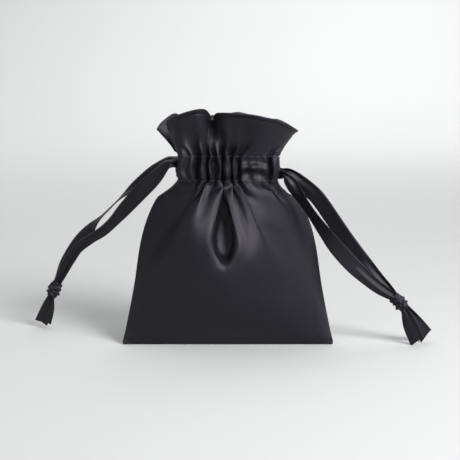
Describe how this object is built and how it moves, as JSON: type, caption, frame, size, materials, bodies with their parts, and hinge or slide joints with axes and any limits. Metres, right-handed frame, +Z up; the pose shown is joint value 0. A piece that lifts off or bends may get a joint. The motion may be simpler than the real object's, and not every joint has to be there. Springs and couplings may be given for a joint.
{
  "type": "drawstring gift pouch",
  "caption": "Small black satin pouch standing closed, with a gathered neck, a ruffled header and two ribbon drawstrings that end in knots and tails.",
  "frame": {"origin": "middle of the base, on the surface that the pouch stands on", "axes": "+Z up through the neck, front face towards -Y, +X to the right as seen from the front"},
  "size_m": [0.1551, 0.0395, 0.088],
  "materials": {
    "satin": "satin",
    "satin_inside": "satin",
    "ribbon": "satin",
    "thread": "matte"
  },
  "bodies": {
    "pouch": {"front_panel": "satin", "back_panel": "satin", "front_facing": "satin_inside", "back_facing": "satin_inside", "left_side_seam": "satin_inside", "right_side_seam": "satin_inside", "bottom_seam": "satin_inside", "left_seam_stitching": "thread", "right_seam_stitching": "thread", "bottom_seam_stitching": "thread", "front_upper_stitching": "thread", "front_lower_stitching": "thread", "back_upper_stitching": "thread", "back_lower_stitching": "thread", "left_bar_tack": "thread", "right_bar_tack": "thread"},
    "left_drawstring": {"left_ribbon_run": "ribbon"},
    "right_drawstring": {"right_ribbon_run": "ribbon"},
    "left_pull": {"left_front_strand": "ribbon", "left_back_strand": "ribbon", "left_knot": "ribbon", "left_front_tail": "ribbon", "left_back_tail": "ribbon"},
    "right_pull": {"right_front_strand": "ribbon", "right_back_strand": "ribbon", "right_knot": "ribbon", "right_front_tail": "ribbon", "right_back_tail": "ribbon"}
  },
  "joints": [
    {"name": "left_take_up", "type": "slide", "parent": "pouch", "child": "left_drawstring", "axis": [-1, 0, 0], "range_m": [0, 0.002]},
    {"name": "right_take_up", "type": "slide", "parent": "pouch", "child": "right_drawstring", "axis": [1, 0, 0], "range_m": [0, 0.002]},
    {"name": "left_lift", "type": "hinge", "parent": "left_drawstring", "child": "left_pull", "pos_m": [-0.0188, 0, 0.0685], "axis": [0, 1, 0], "range_deg": [0, 40]},
    {"name": "right_lift", "type": "hinge", "parent": "right_drawstring", "child": "right_pull", "pos_m": [0.0188, 0, 0.0644], "axis": [0, -1, 0], "range_deg": [0, 30]}
  ]
}
